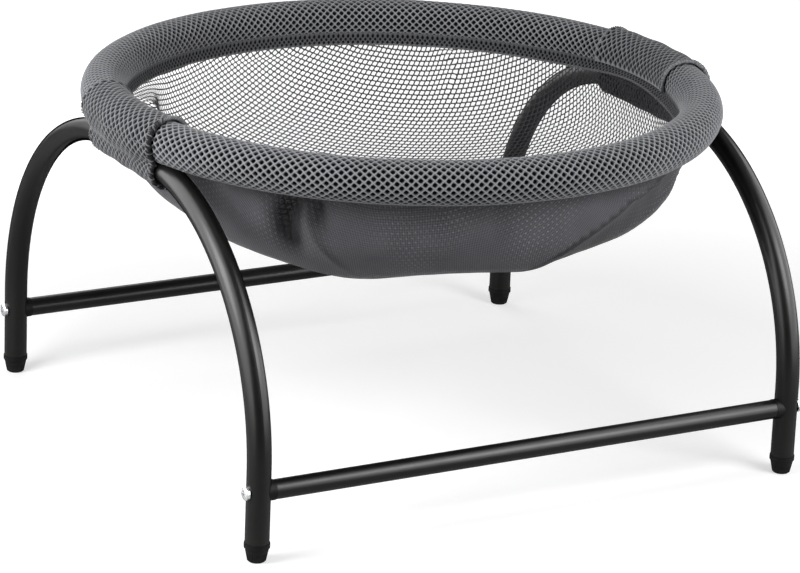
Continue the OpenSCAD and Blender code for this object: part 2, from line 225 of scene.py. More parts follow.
def makeYarn(spec):
    # fibres along a yarn, and slow changes of shade over the cloth
    inputs = {"Place": (0, 0, 0), "Size": spec["size"]}
    group, inside, outside = makeGroup("yarnFibre", inputs, ["Tint", "Height"])
    place = inside.outputs["Place"]
    scale = mathNode(group, "DIVIDE", 1.0, inside.outputs["Size"])
    fibre = noiseNode(group, place, scale, spec["fibreDetail"])
    shade = noiseNode(group, place, spec["shadeScale"], spec["shadeDetail"])
    tint = mathNode(group, "ADD", mathNode(group, "MULTIPLY", fibre, spec["fibreShare"]),
                    mathNode(group, "MULTIPLY", shade, spec["shadeShare"]))
    group.links.new(tint, outside.inputs["Tint"])
    group.links.new(fibre, outside.inputs["Height"])
    return group


grainGroup, dustGroup, yarnGroup = makeGrain(grainSpec), makeFloorDust(dustSpec), makeYarn(yarnSpec)


# Finishes of the hard pieces

coatSpec = {"dustColour": (0.30, 0.29, 0.27), "roughSwing": (-0.06, 0.08), "glance": (0.50, 0.78),
            "bumpDistance": 0.0002}


def coatMaterial(name, spec):
    mat, tree, shader = startMaterial(name, Roughness=spec["roughness"], Metallic=spec["metallic"],
                                      Specular_IOR_Level=spec["gloss"])
    place = objectPlace(tree)
    grain = useGroup(tree, grainGroup, Place=place, Size=spec["grain"])
    dust = useGroup(tree, dustGroup, Place=place, Reach=spec["dustReach"])
    colour = mixColour(tree, grain["Tint"], spec["dark"], spec["light"])
    veil = mathNode(tree, "MULTIPLY", dust["Mask"], spec["dust"])
    tree.links.new(mixColour(tree, veil, colour, coatSpec["dustColour"]), shader.inputs["Base Color"])
    smoother, rougher = (spec["roughness"] + swing for swing in coatSpec["roughSwing"])
    tree.links.new(rangeNode(tree, grain["Tint"], low=smoother, high=rougher), shader.inputs["Roughness"])
    facing = addNode(tree, "ShaderNodeLayerWeight").outputs["Facing"]
    gloss = rangeNode(tree, facing, *coatSpec["glance"], spec["gloss"], 0.0)  # no mirror at glancing angles
    tree.links.new(gloss, shader.inputs["Specular IOR Level"])
    addBump(tree, shader, grain["Height"], spec["bump"], coatSpec["bumpDistance"])
    return mat


powderCoat = coatMaterial("satinBlackCoat", {
    "dark": (0.0018, 0.0017, 0.0016), "light": (0.0036, 0.0034, 0.0031), "roughness": 0.31, "metallic": 0.0,
    "gloss": 0.26, "grain": 0.0007, "bump": 0.10, "dust": 0.03, "dustReach": 0.05})
mouldedPlastic = coatMaterial("mouldedBlackPlastic", {
    "dark": (0.0028, 0.0028, 0.0029), "light": (0.0055, 0.0055, 0.0057), "roughness": 0.50, "metallic": 0.0,
    "gloss": 0.12, "grain": 0.0004, "bump": 0.20, "dust": 0.10, "dustReach": 0.010})
brightZinc = coatMaterial("brightZinc", {
    "dark": (0.62, 0.63, 0.64), "light": (0.80, 0.81, 0.82), "roughness": 0.26, "metallic": 1.0,
    "gloss": 0.5, "grain": 0.0005, "bump": 0.10, "dust": 0.0, "dustReach": 0.01})
plainSteel = coatMaterial("plainTubeSteel", {
    "dark": (0.36, 0.36, 0.37), "light": (0.52, 0.52, 0.53), "roughness": 0.38, "metallic": 1.0,
    "gloss": 0.5, "grain": 0.0006, "bump": 0.10, "dust": 0.0, "dustReach": 0.01})

hardFinishes = {
    "left_arch": powderCoat, "right_arch": powderCoat,
    "front_stretcher": powderCoat, "rear_stretcher": powderCoat,
    "leg_screws": brightZinc, "captive_nuts": brightZinc,
    "hoop_front_half": plainSteel, "hoop_rear_half": plainSteel,
    "left_hoop_joiner": plainSteel, "right_hoop_joiner": plainSteel,
}
for corner in ("front_left", "front_right", "rear_left", "rear_right"):
    hardFinishes[corner + "_foot"] = mouldedPlastic
    hardFinishes[corner + "_saddle"] = mouldedPlastic
for name, mat in hardFinishes.items():
    nodes[name].data.materials.clear()
    nodes[name].data.materials.append(mat)
print("hard pieces finished:", len(hardFinishes))


# Finishes of the cloth

clothSpec = {"sheenRoughness": 0.45, "specular": 0.04, "bumpDistance": 0.0002}


def yarnMaterial(name, spec):
    mat, tree, shader = startMaterial(name, Roughness=spec["roughness"], Sheen_Weight=spec["sheen"],
                                      Sheen_Roughness=clothSpec["sheenRoughness"],
                                      Specular_IOR_Level=clothSpec["specular"])
    yarn = useGroup(tree, yarnGroup, Place=objectPlace(tree), Size=spec["fibre"])
    colour = mixColour(tree, yarn["Tint"], spec["dark"], spec["light"])
    if "deep" in spec:  # painted shade: strands darken towards the holes
        crest = addNode(tree, "ShaderNodeAttribute", attribute_name="crest").outputs["Fac"]
        colour = mixColour(tree, crest, spec["deep"], colour)
    if "edge" in spec:  # sewn borders are darker
        border = addNode(tree, "ShaderNodeAttribute", attribute_name="border").outputs["Fac"]
        colour = mixColour(tree, border, colour, spec["edge"])
    tree.links.new(colour, shader.inputs["Base Color"])
    addBump(tree, shader, yarn["Height"], spec["bump"], clothSpec["bumpDistance"])
    return mat


# deep is the painted shade on the strands' edges and the hole walls
rimStrands = yarnMaterial("greyRimStrands", {
    "dark": (0.236, 0.242, 0.256), "light": (0.371, 0.380, 0.397), "deep": (0.018, 0.018, 0.020),
    "roughness": 0.78, "sheen": 0.12, "fibre": 0.00035, "bump": 0.5})
flapStrands = yarnMaterial("greyFlapStrands", {
    "dark": (0.180, 0.185, 0.196), "light": (0.300, 0.307, 0.321), "deep": (0.007, 0.007, 0.008),
    "edge": (0.020, 0.020, 0.022), "roughness": 0.78, "sheen": 0.12, "fibre": 0.00035, "bump": 0.5})
hemStrands = yarnMaterial("darkHemStrands", {
    "dark": (0.070, 0.072, 0.076), "light": (0.115, 0.118, 0.124), "deep": (0.014, 0.014, 0.016),
    "roughness": 0.8, "sheen": 0.1, "fibre": 0.00035, "bump": 0.5})
holeBacking = yarnMaterial("blackHoleBacking", {
    "dark": (0.0030, 0.0030, 0.0033), "light": (0.0060, 0.0060, 0.0064),
    "roughness": 0.95, "sheen": 0.0, "fibre": 0.0003, "bump": 0.4})
netStrands = yarnMaterial("darkNetStrands", {
    "dark": (0.022, 0.022, 0.024), "light": (0.050, 0.050, 0.054),
    "roughness": 0.75, "sheen": 0.1, "fibre": 0.0003, "bump": 0.4})
greyThread = yarnMaterial("greySewingThread", {
    "dark": (0.110, 0.112, 0.117), "light": (0.200, 0.204, 0.210),
    "roughness": 0.75, "sheen": 0.15, "fibre": 0.0002, "bump": 0.5})
blackThread = yarnMaterial("blackThread", {
    "dark": (0.005, 0.005, 0.006), "light": (0.024, 0.024, 0.026),
    "roughness": 0.7, "sheen": 0.2, "fibre": 0.0002, "bump": 0.5})
wovenTape = yarnMaterial("blackTape", {
    "dark": (0.012, 0.012, 0.013), "light": (0.038, 0.038, 0.041),
    "roughness": 0.85, "sheen": 0.1, "fibre": 0.0003, "bump": 0.6})


def fineClothMaterial(spec):
    # fine outer face: twill lines, faint dots of the net behind it, see-through only from inside
    mat, tree, shader = startMaterial("fineBasinFace", Roughness=spec["roughness"],
                                      Sheen_Weight=spec["sheen"], Sheen_Roughness=spec["sheenRoughness"],
                                      Specular_IOR_Level=clothSpec["specular"])
    flat = addNode(tree, "ShaderNodeAttribute", attribute_name="flatPlace").outputs["Vector"]
    fullTurn = 2 * math.pi

    def wave(shape, way, rate):
        return mathNode(tree, shape, mathNode(tree, "MULTIPLY", way, rate))

    turned = addNode(tree, "ShaderNodeMapping", Vector=flat, Rotation=(0, 0, math.radians(spec["twillTurn"])))
    axes = addNode(tree, "ShaderNodeSeparateXYZ", Vector=turned.outputs[0])
    lines = wave("SINE", axes.outputs["X"], fullTurn / spec["twill"])
    cross = wave("SINE", axes.outputs["Y"], fullTurn / spec["cross"])
    weave = mathNode(tree, "ADD", mathNode(tree, "MULTIPLY", lines, spec["twillShare"]),
                     mathNode(tree, "MULTIPLY", cross, spec["crossShare"]))
    yarn = useGroup(tree, yarnGroup, Place=objectPlace(tree), Size=spec["fibre"])
    tint = mathNode(tree, "ADD", mathNode(tree, "ADD", weave, spec["tintShift"]), yarn["Tint"], True)

    netScale = [math.sqrt(2) / diagonal for diagonal in spec["cell"]]
    netTurn = addNode(tree, "ShaderNodeMapping", Vector=flat, Rotation=(0, 0, math.radians(-45)),
                      Scale=(*netScale, 1))
    netAxes = addNode(tree, "ShaderNodeSeparateXYZ", Vector=netTurn.outputs[0])
    rows = [mathNode(tree, "MAXIMUM", wave("COSINE", netAxes.outputs[k], fullTurn), 0.0) for k in ("X", "Y")]
    dots = mathNode(tree, "POWER", mathNode(tree, "MULTIPLY", *rows), spec["dotPower"])
    patches = noiseNode(tree, flat, spec["patchScale"], spec["patchDetail"])
    ghost = mathNode(tree, "MULTIPLY", dots, rangeNode(tree, patches, *spec["patchEnds"]))

    colour = mixColour(tree, tint, spec["dark"], spec["light"])
    colour = mixColour(tree, mathNode(tree, "MULTIPLY", ghost, spec["ghost"]), colour, spec["ghostColour"])
    # painted shade in the basin's folds and below its right crease
    paintedFoldShade = addNode(tree, "ShaderNodeAttribute", attribute_name="paintedFoldShade").outputs["Fac"]
    tree.links.new(mixColour(tree, paintedFoldShade, colour, spec["paintedFoldShadeColour"]), shader.inputs["Base Color"])
    height = mathNode(tree, "ADD", weave, mathNode(tree, "MULTIPLY", ghost, spec["ghostHeight"]))
    addBump(tree, shader, height, spec["bump"], spec["bumpDistance"])
    back = addNode(tree, "ShaderNodeNewGeometry").outputs["Backfacing"]
    cover = rangeNode(tree, back, low=spec["outsideCover"], high=spec["insideCover"])
    tree.links.new(cover, shader.inputs["Alpha"])
    return mat


netCell = (0.00715, 0.0043)  # the rhomb's two diagonals
fineFace = fineClothMaterial({
    "dark": (0.038, 0.038, 0.044), "light": (0.118, 0.117, 0.129), "tintShift": 0.1,
    "roughness": 0.82, "sheen": 0.12, "sheenRoughness": 0.5, "fibre": 0.0005,
    "twill": 0.0012, "twillTurn": 28, "twillShare": 0.42, "cross": 0.0017, "crossShare": 0.20,
    "cell": netCell, "dotPower": 2.0, "patchScale": 15.0, "patchDetail": 1.0, "patchEnds": (0.40, 0.60),
    "ghost": 0.85, "ghostColour": (0.23, 0.23, 0.24), "ghostHeight": 1.2,
    # the next colour is the painted shade in the folds
    "paintedFoldShadeColour": (0.012, 0.012, 0.014), "bump": 0.6, "bumpDistance": 0.0003,
    "outsideCover": 0.96, "insideCover": 0.25,
})


# Mesh helpers

tiny = 1e-12  # keeps divisions safe
mergeGap = 1e-6


def finishPiece(bm, name, mats, smooth=True):
    mesh = bpy.data.meshes.new(name)
    for face in bm.faces:
        face.smooth = smooth
    bm.to_mesh(mesh)
    bm.free()
    for mat in mats:
        mesh.materials.append(mat)
    piece = bpy.data.objects.new(name, mesh)
    bpy.context.scene.collection.objects.link(piece)
    print("made", name, len(mesh.polygons), "faces")
    return piece


def moveVerts(verts, places):
    for v, place in zip(verts, places):
        v.co = place


def placesOf(verts):
    return np.array([v.co for v in verts], float).reshape(-1, 3)


def surfaceTable(points):
    along, across = np.gradient(points, axis=0), np.gradient(points, axis=1)
    normals = np.cross(along, across)
    normals /= np.linalg.norm(normals, axis=-1, keepdims=True) + tiny
    return points, normals


def onSurface(table, a, b, lift):
    # a and b are shares along the table's two ways, lift is the distance off it
    points, normals = table
    rows, columns = points.shape[:2]
    fi, fj = np.clip(a, 0, 1) * (rows - 1), np.clip(b, 0, 1) * (columns - 1)
    i, j = np.minimum(fi.astype(int), rows - 2), np.minimum(fj.astype(int), columns - 2)
    wi, wj = (fi - i)[:, None], (fj - j)[:, None]

    def blended(t):
        near = t[i, j] * (1 - wi) + t[i + 1, j] * wi
        far = t[i, j + 1] * (1 - wi) + t[i + 1, j + 1] * wi
        return near * (1 - wj) + far * wj

    normal = blended(normals)
    normal /= np.linalg.norm(normal, axis=-1, keepdims=True) + tiny
    return blended(points) + normal * np.asarray(lift, float).reshape(-1, 1)


def evenSteps(rows, lengths, samples):
    # each row of points again, on even steps of its length
    even = np.empty((len(rows), samples, 3))
    for i, (row, length) in enumerate(zip(rows, lengths)):
        steps = np.linspace(0, length[-1], samples)
        for k in range(3):
            even[i, :, k] = np.interp(steps, length, row[:, k])
    return even


def makeDiamonds(bm, faces):
    # staggered diamonds: poke each square, then take out the squares' own edges
    edges = {e for f in faces for e in f.edges}
    centres = set(bmesh.ops.poke(bm, faces=list(faces))["verts"])
    inner = [e for e in edges if e.is_valid and len(e.link_faces) == 2
             and all(any(v in centres for v in f.verts) for f in e.link_faces)]
    bmesh.ops.dissolve_edges(bm, edges=inner, use_verts=False, use_face_split=False)
    return [f for f in bm.faces if len(f.verts) == 4 and sum(v in centres for v in f.verts) == 2]


def openHoles(bm, faces, spec, shape):
    # strands stay between the holes, and each hole dips to a dark floor
    # the crest mark paints shade: strands darker at the holes' edges and down the hole walls
    crest = bm.verts.layers.float.get("crest") or bm.verts.layers.float.new("crest")
    for v in bm.verts:
        v[crest] = 1.0
    bmesh.ops.inset_individual(bm, faces=faces, thickness=spec["strand"], depth=0, use_even_offset=True)
    for f in faces:
        middle = f.calc_center_median()
        for v in f.verts:
            v.co = shape(v.co, middle) - f.normal * spec["sink"]
            v[crest] = spec["shade"]
    bmesh.ops.inset_individual(bm, faces=faces, thickness=spec["wall"], depth=-spec["dip"],
                               use_even_offset=True)
    for f in faces:
        f.material_index = 1
        for v in f.verts:
            v[crest] = 0.0


def flatHole(wide, tall):
    # rounds a hole on flat cloth
    def roundHole(place, middle):
        off = place - middle
        return middle + off / math.hypot(off.x / wide, off.y / tall)

    return roundHole


# Padded rim: a mesh cover stretched over foam

rimSpec = {
    "around": 229, "rows": 17, "merge": 1e-5,
    "strand": 0.0008, "sink": 0.0005, "wall": 0.00014, "dip": 0.0012, "shade": 0.22,
    "holeAlong": 0.00156, "holeAcross": 0.00148, "lump": 0.0005, "lumpSize": 0.045,
}


def clearArches(places, depth):
    # the arch tubes press hollows into the rim's underside, and what lies deeper in the cloth stays deeper
    bendZ = hammock["archTop"] - hammock["bendR"]
    inTop = np.clip(places[:, 1], -hammock["topHalf"], hammock["topHalf"])
    offY, offZ = places[:, 1] - inTop, places[:, 2] - bendZ
    reach = hammock["bendR"] / np.hypot(offY, offZ)
    axis = np.stack([np.sign(places[:, 0]) * hammock["legX"], inTop + offY * reach, bendZ + offZ * reach], -1)
    off = places - axis
    apart = np.linalg.norm(off, axis=-1, keepdims=True)
    return places + off * np.maximum(0, (hammock["legR"] + hammock["seatGap"] + depth[:, None]) / apart - 1)


def rimTube(places):
    # moves points to the rim's tube, lumps pressed slightly inwards
    turn = np.arctan2(places[:, 1], places[:, 0])
    out = np.hypot(places[:, 0], places[:, 1]) - hammock["rimR"]
    up = places[:, 2] - hammock["rimZ"]
    length = np.hypot(out, up) + tiny
    lump = np.array([noise.noise(Vector(p) / rimSpec["lumpSize"]) for p in places])
    radius = hammock["tubeR"] - rimSpec["lump"] * (0.5 + 0.5 * lump)
    r = hammock["rimR"] + out / length * radius
    return np.stack([r * np.cos(turn), r * np.sin(turn), hammock["rimZ"] + up / length * radius], -1)


def makeRim(spec):
    bm = bmesh.new()
    bmesh.ops.create_grid(bm, x_segments=spec["around"], y_segments=spec["rows"], size=0.5)
    flat = placesOf(bm.verts)
    turn, roundTurn = 2 * np.pi * (flat[:, 0] + 0.5), 2 * np.pi * (flat[:, 1] + 0.5)
    r = hammock["rimR"] + hammock["tubeR"] * np.cos(roundTurn)
    z = hammock["rimZ"] + hammock["tubeR"] * np.sin(roundTurn)
    moveVerts(bm.verts, np.stack([r * np.cos(turn), r * np.sin(turn), z], -1))
    bmesh.ops.remove_doubles(bm, verts=bm.verts, dist=spec["merge"])
    bmesh.ops.recalc_face_normals(bm, faces=bm.faces)
    diamonds = makeDiamonds(bm, bm.faces[:])
    bmesh.ops.bisect_edges(bm, edges=bm.edges, cuts=1)
    moveVerts(bm.verts, rimTube(placesOf(bm.verts)))
    bm.normal_update()

    def roundHole(place, middle):
        along = Vector((-middle.y, middle.x, 0)).normalized()
        off = place - middle
        a = off.dot(along)
        c = (off - along * a).length
        return middle + off / math.hypot(a / spec["holeAlong"], c / spec["holeAcross"])

    openHoles(bm, diamonds, spec, roundHole)
    crest = bm.verts.layers.float["crest"]

    def depthOf(v):
        # a crest mark of 1 is the face itself, and 0 the floor of a hole
        if v[crest] == 0:
            return spec["dip"] + spec["sink"]
        return spec["sink"] if v[crest] < 1 else 0

    moveVerts(bm.verts, clearArches(placesOf(bm.verts), np.array([depthOf(v) for v in bm.verts])))
    return finishPiece(bm, "rimCover", [rimStrands, holeBacking])


rimCover = makeRim(rimSpec)
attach(rimCover, "stand")
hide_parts("rim_cover", "rim_foam_front", "rim_foam_rear")


# Basin: the cloth's hanging shape, with its folds

basinSpec = {
    "depth": 0.086, "inset": 0.0125, "steepAngle": -46, "steepSide": 1.16, "slackSide": 3.2,
    "steepDrop": 4.9, "slackDrop": 2.45, "edgeAngle": 42, "edgeAtFlap": 24, "flapReach": 18,
    "edgeCloth": 0.45, "edgeDrop": 0.009, "clearX": 0.1847,
    "pouch": (-0.464, -0.523), "pouchReach": 0.215, "pouchDrop": 0.0075,
    "ripple": 0.0005, "rippleWaves": ((37, 0), (11, 40)), "foldStart": 0.09, "foldFade": 0.3,
    "columns": 1440, "steps": 500, "stepPower": 1.5, "samples": 260,
}
# A fold's path holds the share of the drop, the angle and, where it varies, the share of the height. Its
# widths are those after and before the path in degrees, last is the share of the drop where it fades, and
# a share of painted shade, where given, darkens the cloth along it.
rightCrease = [(0.08, -52.0), (0.15, -60.5), (0.22, -70.3), (0.33, -75.8), (0.43, -81.4), (0.56, -85.9),
               (0.8, -92.0)]
rightPaintedShade = [(share, angle, 0.72 + 0.5 * share) for share, angle in rightCrease]  # painted shade below the crease, growing on the way down
basinFolds = [
    # front pleat: two valleys, a ridge between them and a soft swell beside them; painted shade in both
    # valleys, beside the first one and on the ridge
    {"path": [(0.08, -138.9), (0.16, -139.7), (0.28, -140.9), (0.39, -140.8), (0.49, -140.0), (0.62, -138.8)],
     "height": -0.0082, "widths": (2.3, 2.3), "sharp": 2.0, "last": 0.36, "paintedShade": 1.0},
    {"path": [(0.08, -140.5), (0.62, -140.5)],
     "height": 0.0, "widths": (2.4, 4.5), "sharp": 2.0, "last": 0.38, "paintedShade": 0.85},
    {"path": [(0.08, -137.0), (0.26, -136.6), (0.40, -135.6), (0.52, -134.0), (0.63, -132.0), (0.75, -129.3)],
     "height": 0.0014, "widths": (1.2, 0.9), "sharp": 1.6, "last": 0.56, "paintedShade": 0.45},
    {"path": [(0.08, -134.6), (0.23, -134.3), (0.30, -134.0), (0.40, -133.0), (0.5, -131.4)],
     "height": -0.0058, "widths": (1.8, 1.5), "sharp": 1.8, "last": 0.18, "paintedShade": 0.85},
    {"path": [(0.08, -146.0), (0.40, -145.0), (0.66, -143.0)],
     "height": 0.0016, "widths": (3.0, 3.0), "sharp": 1.8, "last": 0.50},
    # front right: the long crease, a band of painted shade below it and a second crease
    {"path": rightCrease, "height": 0.0110, "widths": (8.0, 12.0), "sharp": 1.0, "last": 0.62},
    {"path": rightPaintedShade, "height": 0.0, "widths": (26.0, 0.5), "sharp": 4.0, "last": 0.90, "paintedShade": 0.80},
    {"path": [(0.10, -38.0), (0.29, -48.5), (0.36, -52.7), (0.44, -57.7), (0.6, -64.0)],
     "height": 0.0045, "widths": (4.0, 4.0), "sharp": 1.0, "last": 0.40},
    # rear: an inner fold on the left, a dent on the right and a slow swell
    {"path": [(0.07, 139.0, 0), (0.12, 140.0, 0.5), (0.2, 141.0, 0.85), (0.3, 142.0, 1), (0.45, 142.5, 0.8),
              (0.6, 143.0, 0.4), (0.8, 144.0, 0)],
     "height": -0.0240, "widths": (5.5, 11.0), "sharp": 1.4, "last": 0.70},
    {"path": [(0.05, 51.5), (0.24, 48.5), (0.40, 50.0)],
     "height": -0.0050, "widths": (2.6, 2.6), "sharp": 1.3, "last": 0.34},
    {"path": [(0.08, 93.0), (0.50, 88.0)],
     "height": 0.0028, "widths": (7.0, 7.0), "sharp": 2.0, "last": 0.50},
]


def smoothStep(x):
    x = np.clip(x, 0, 1)
    return x * x * (3 - 2 * x)


def besideFlap(angle, spec):
    # 1 under the middle of a flap, 0 away from it
    return np.exp(-(np.degrees(np.arcsin(np.abs(np.sin(angle)))) / spec["flapReach"]) ** 2)


def edgeTilt(angle, spec):
    # how far under the rim's inner side the basin is sewn on
    return np.radians(spec["edgeAngle"] + (spec["edgeAtFlap"] - spec["edgeAngle"]) * besideFlap(angle, spec))


def foldField(degrees, share):
    # how far the folds stand out, and where shade is painted on the cloth
    swell, paintedFoldShade = np.zeros_like(degrees), np.zeros_like(degrees)
    for fold in basinFolds:
        shares, angles, *heights = zip(*fold["path"])
        line = np.interp(share, shares, angles)
        grow = np.interp(share, shares, heights[0]) if heights else 1
        off = (degrees - line + 540) % 360 - 180  # the short way round
        fade = grow * (1 - smoothStep((share - fold["last"]) / basinSpec["foldFade"]))
        shape = fade * np.exp(-(np.abs(off) / np.where(off > 0, *fold["widths"])) ** fold["sharp"])
        swell = swell + fold["height"] * shape
        paintedFoldShade = paintedFoldShade + fold.get("paintedShade", 0) * shape
    return swell, np.clip(paintedFoldShade, 0, 1)


def basinSurface(angle, way, spec):
    # angle in radians and the share of the way down, both arrays
    degrees = np.degrees(angle)
    flap, tilt = besideFlap(angle, spec), edgeTilt(angle, spec)
    steep = (1 + np.cos(angle - math.radians(spec["steepAngle"]))) / 2
    ring = hammock["tubeR"] + hammock["seatGap"] + hammock["clothT"] * spec["edgeCloth"]
    edgeR, edgeZ = hammock["rimR"] - ring * np.cos(tilt), hammock["rimZ"] - ring * np.sin(tilt)
    bottom = hammock["rimZ"] - ring * math.sin(math.radians(spec["edgeAngle"])) - spec["depth"]
    basinR = hammock["rimR"] - spec["inset"]
    wallR = basinR - (basinR - spec["clearX"]) * flap
    side = spec["slackSide"] + (spec["steepSide"] - spec["slackSide"]) * steep
    fall = spec["slackDrop"] + (spec["steepDrop"] - spec["slackDrop"]) * steep
    turn = math.pi / 2 * way ** (1 + steep)
    share = np.sin(turn) ** (2 / fall)
    drop = (edgeZ - bottom) * share
    edge = np.maximum(0, 1 - drop / spec["edgeDrop"]) ** 2
    r = wallR * np.maximum(0, np.cos(turn)) ** (2 / side) + (edgeR + hammock["clothT"] / 2 - wallR) * edge
    ripple = spec["ripple"] * (1 - share)
    for waves, start in spec["rippleWaves"]:
        ripple = ripple * np.sin(np.radians(degrees * waves + start))
    begin = smoothStep((share - hammock["hemH"] / spec["depth"]) / spec["foldStart"])
    swell = (ripple + foldField(degrees, share)[0]) * begin
    lean = np.sin(turn)
    r = r + swell * (1 - lean)
    x, y = r * np.cos(angle), r * np.sin(angle)
    pouchX, pouchY = spec["pouch"]
    reach = ((x / basinR - pouchX) ** 2 + (y / basinR - pouchY) ** 2) / spec["pouchReach"] ** 2
    return np.stack([x, y, edgeZ - drop - swell * lean - spec["pouchDrop"] * np.exp(-reach) * share], -1)


def basinTable(spec):
    # the bowl on even steps of cloth from the middle, 0, to the sewn edge, 1
    turns = np.linspace(-math.pi, math.pi, spec["columns"] + 1)
    ways = np.linspace(0, 1, spec["steps"]) ** spec["stepPower"]
    angle, way = np.meshgrid(turns, ways, indexing="ij")
    points = basinSurface(angle, way, spec)[:, ::-1]
    lengths = np.cumsum(np.linalg.norm(np.diff(points, axis=1), axis=-1), axis=1)
    lengths = np.concatenate([np.zeros((len(lengths), 1)), lengths], axis=1)
    even = evenSteps(points, lengths, spec["samples"])
    even[:, 0] = even[:, 0].mean(axis=0)
    points, normals = surfaceTable(even)
    normals[:, 0] = (0, 0, -1)
    normals[:, 1:] *= np.where(normals[:, 1:2, 2:] > 0, -1, 1)
    return (points, normals), lengths[:, -1]


bowl, bowlReach = basinTable(basinSpec)
print(f"basin cloth reaches {bowlReach.min():.4f} to {bowlReach.max():.4f} m from its middle")


def onBowl(angle, share, lift):
    return onSurface(bowl, (angle + math.pi) / (2 * math.pi), share, lift)


def reachAt(angle):
    return np.interp(angle, np.linspace(-math.pi, math.pi, len(bowlReach)), bowlReach)


def setAttribute(piece, name, kind, values):
    layer = piece.data.attributes.new(name, kind, "POINT")
    field = "vector" if kind == "FLOAT_VECTOR" else "value"
    layer.data.foreach_set(field, np.asarray(values, np.float32).ravel())


basinBackSpec = {"columns": 720, "rings": 78}


def makeBasinBack(spec):
    bm = bmesh.new()
    bmesh.ops.create_grid(bm, x_segments=spec["columns"], y_segments=spec["rings"], size=0.5)
    flat = placesOf(bm.verts)
    moveVerts(bm.verts, onBowl(2 * np.pi * flat[:, 0], flat[:, 1] + 0.5, np.zeros(len(flat))))
    bmesh.ops.remove_doubles(bm, verts=bm.verts, dist=mergeGap)
    bmesh.ops.recalc_face_normals(bm, faces=bm.faces)
    bm.faces.ensure_lookup_table()
    lowest = min(bm.faces, key=lambda f: f.calc_center_median().z)
    if lowest.normal.z > 0:
        bmesh.ops.reverse_faces(bm, faces=bm.faces)
    piece = finishPiece(bm, "basinBack", [fineFace])
    # place on the flat cloth, for the weave
    places = placesOf(piece.data.vertices)
    angle = np.arctan2(places[:, 1], places[:, 0])
    table = bowl[0]
    column = np.rint((angle + math.pi) / (2 * math.pi) * (len(table) - 1)).astype(int)
    nearest = [np.argmin(((table[c] - p) ** 2).sum(-1)) for c, p in zip(column, places)]
    flatR = np.array(nearest) / (table.shape[1] - 1) * reachAt(angle)
    flat = np.stack([flatR * np.cos(angle), flatR * np.sin(angle), np.zeros(len(angle))], -1)
    setAttribute(piece, "flatPlace", "FLOAT_VECTOR", flat)
    top = hammock["rimZ"] - hammock["tubeR"] * np.sin(edgeTilt(angle, basinSpec))
    # painted shade in the folds, kept as a mark for the cloth's colour
    paintedFoldShade = foldField(np.degrees(angle), (top - places[:, 2]) / basinSpec["depth"])[1]
    setAttribute(piece, "paintedFoldShade", "FLOAT", paintedFoldShade)
    return piece


basinNetSpec = {"cell": netCell, "strand": 0.00044, "round": 0.00170, "roundShare": 0.45, "crown": 0.0004,
                "lift": -0.0016, "margin": 0.003}


def makeBasinNet(spec):
    cells = int(4 * bowlReach.max() / min(spec["cell"])) + 2
    bm = bmesh.new()
    bmesh.ops.create_grid(bm, x_segments=cells, y_segments=cells, size=cells / math.sqrt(8))
    bmesh.ops.rotate(bm, cent=(0, 0, 0), matrix=Matrix.Rotation(math.radians(45), 3, "Z"), verts=bm.verts)
    bmesh.ops.scale(bm, vec=(*spec["cell"], 1), verts=bm.verts)  # squares become rhombs
    middles = np.array([f.calc_center_median() for f in bm.faces])
    middleR = np.hypot(middles[:, 0], middles[:, 1])
    outside = middleR > reachAt(np.arctan2(middles[:, 1], middles[:, 0])) - spec["margin"]
    bmesh.ops.delete(bm, geom=[f for f, out in zip(bm.faces[:], outside) if out], context="FACES")
    bmesh.ops.bisect_edges(bm, edges=bm.edges, cuts=1)
    for v in bm.verts:
        v.co.z = spec["crown"]  # strands are crowned towards the inside
    holes = bm.faces[:]
    bmesh.ops.inset_individual(bm, faces=holes, thickness=spec["strand"], depth=0, use_even_offset=True)
    for f in holes:
        middle = f.calc_center_median()
        for v in f.verts:
            off = v.co - middle
            v.co = middle + off * (1 - spec["roundShare"] * (1 - spec["round"] / off.length))
            v.co.z = 0
    bmesh.ops.delete(bm, geom=holes, context="FACES")
    flat = placesOf(bm.verts)
    angle = np.arctan2(flat[:, 1], flat[:, 0])
    share = np.hypot(flat[:, 0], flat[:, 1]) / reachAt(angle)
    moveVerts(bm.verts, onBowl(angle, share, spec["lift"] - flat[:, 2]))
    return finishPiece(bm, "basinNet", [netStrands])


basinBack = makeBasinBack(basinBackSpec)
basinNet = makeBasinNet(basinNetSpec)


# Hem: the rim's seam allowance, a mesh band on the inner face of the basin's edge

hemSpec = {
    "around": 330, "rows": 2, "height": 0.0078, "tuck": 0.3, "tuckTurn": 16, "lift": -0.0024,
    "strand": 0.0005, "sink": 0.0002, "wall": 0.00012, "dip": 0.0004, "shade": 0.4,
    "holeAlong": 0.00105, "holeAcross": 0.00105,
}


